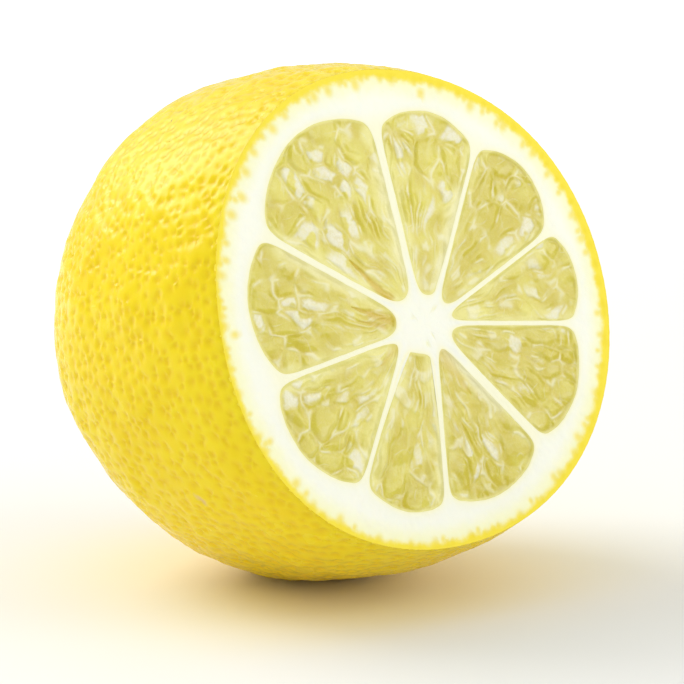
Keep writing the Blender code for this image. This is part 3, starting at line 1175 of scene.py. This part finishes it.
def buildPulp(number):
    bm = bmesh.new()
    bmesh.ops.create_grid(bm, x_segments=pulp["cells"], y_segments=pulp["cells"], size=1.0)
    at = measurePulp(number, getCoords(bm)[:, :2])
    setCoords(bm, np.c_[at["places"], pulpHeight(at)])
    paintPoints(bm, pulpPaint(at))
    closeSolid(bm, dropWalls(bm, boundaryEdges(bm), pulp["depth"]))
    return bm


pulpMaterial = makePulpMaterial()
for number in range(segmentCount):
    finishPiece(f"pulpSegment{number + 1}", buildPulp(number), pulpMaterial)

stageLook = {
    "floorSize": 8.0,
    # under: painted warm shadow and light bounced off the lemon, on the floor close round it
    "under": (0.96, 0.88, 0.70, 1.0),
    # near and far: painted light, the floor darker near the lemon and paler and glowing far off
    "near": (0.86, 0.865, 0.845, 1.0),
    "far": (0.95, 0.95, 0.95, 1.0),
    "farGlow": 0.38,
    "bounceShadowReach": (0.005, 0.042),     # metres from the lemon's middle
    "fade": (0.12, 0.9),
    "world": (1.0, 1.0, 1.0, 1.0),
    "worldStrength": 0.78,
}


def buildStage():
    bm = bmesh.new()
    bmesh.ops.create_grid(bm, x_segments=1, y_segments=1, size=stageLook["floorSize"] / 2)
    mesh = bpy.data.meshes.new("floor")
    bm.to_mesh(mesh)
    bm.free()
    floor = bpy.data.objects.new("floor", mesh)
    floor.location.z = cadLow.z
    scene.collection.objects.link(floor)
    n = Nodes("paleFloor")
    away = n.add("ShaderNodeVectorMath", {0: n.coords()}, operation="LENGTH").outputs["Value"]
    # painted light: away from the lemon the floor turns paler and glows, brightening into the white backdrop
    share = n.mapRange(away, *stageLook["fade"])
    # painted warm shadow and bounce light close to the lemon, fading to the plain floor
    tone = n.mix(n.mapRange(away, *stageLook["bounceShadowReach"]), stageLook["under"], stageLook["near"])
    n.set(Base_Color=n.mix(share, tone, stageLook["far"]), Roughness=0.6, IOR=1.3)
    n.set(Emission_Color=stageLook["world"], Emission_Strength=n.times(share, stageLook["farGlow"]))
    mesh.materials.append(n.material)
    world = bpy.data.worlds.new("studio")
    world.use_nodes = True
    background = world.node_tree.nodes["Background"]
    background.inputs["Color"].default_value = stageLook["world"]
    background.inputs["Strength"].default_value = stageLook["worldStrength"]
    scene.world = world


lights = {
    "overhead": {"azimuth": 208, "elevation": 42, "distance": 0.75, "size": 0.55, "power": 3.4,
                 "colour": (1.0, 0.99, 0.97)},
    "side": {"azimuth": 38, "elevation": 22, "distance": 0.75, "size": 0.4, "power": 1.4,
             "colour": (1.0, 1.0, 1.0)},
}


def towards(azimuth, elevation):
    a, e = radians(azimuth), radians(elevation)
    return Vector((sin(a) * cos(e), -cos(a) * cos(e), sin(e)))


def aimed(place, target):
    return Matrix.Translation(place) @ (target - place).to_track_quat("-Z", "Y").to_matrix().to_4x4()


def buildLights():
    middle = (cadLow + cadHigh) / 2
    for name, light in lights.items():
        data = bpy.data.lights.new(name, "AREA")
        data.shape = "SQUARE"
        data.size = light["size"]
        data.energy = light["power"]
        data.color = light["colour"]
        item = bpy.data.objects.new(name, data)
        place = middle + towards(light["azimuth"], light["elevation"]) * light["distance"]
        item.matrix_world = aimed(place, middle)
        scene.collection.objects.link(item)


cameraPlace = {
    "azimuth": -37.2,
    "elevation": 9.0,
    "distance": 313.5,      # lemon millimetres from the cut face's middle
    "aside": -8.45,
    "below": -3.8,
    "lens": 151.2,
    "sensor": 36.0,
    "clip": (0.01, 20.0),
}


def buildCamera():
    c = cameraPlace
    away = towards(c["azimuth"], c["elevation"])
    right = Vector((-away.y, away.x, 0.0)).normalized()
    up = away.cross(right)
    place = faceCentre + away * c["distance"] * unit
    aim = faceCentre + (right * c["aside"] + up * c["below"]) * unit
    data = bpy.data.cameras.new("camera")
    data.lens = c["lens"]
    data.sensor_width = c["sensor"]
    data.clip_start, data.clip_end = c["clip"]
    camera = bpy.data.objects.new("camera", data)
    camera.matrix_world = aimed(place, aim)
    scene.collection.objects.link(camera)
    scene.camera = camera


buildStage()
buildLights()
buildCamera()
scene.view_settings.view_transform = "Standard"
print("stage, lights and camera are in place")
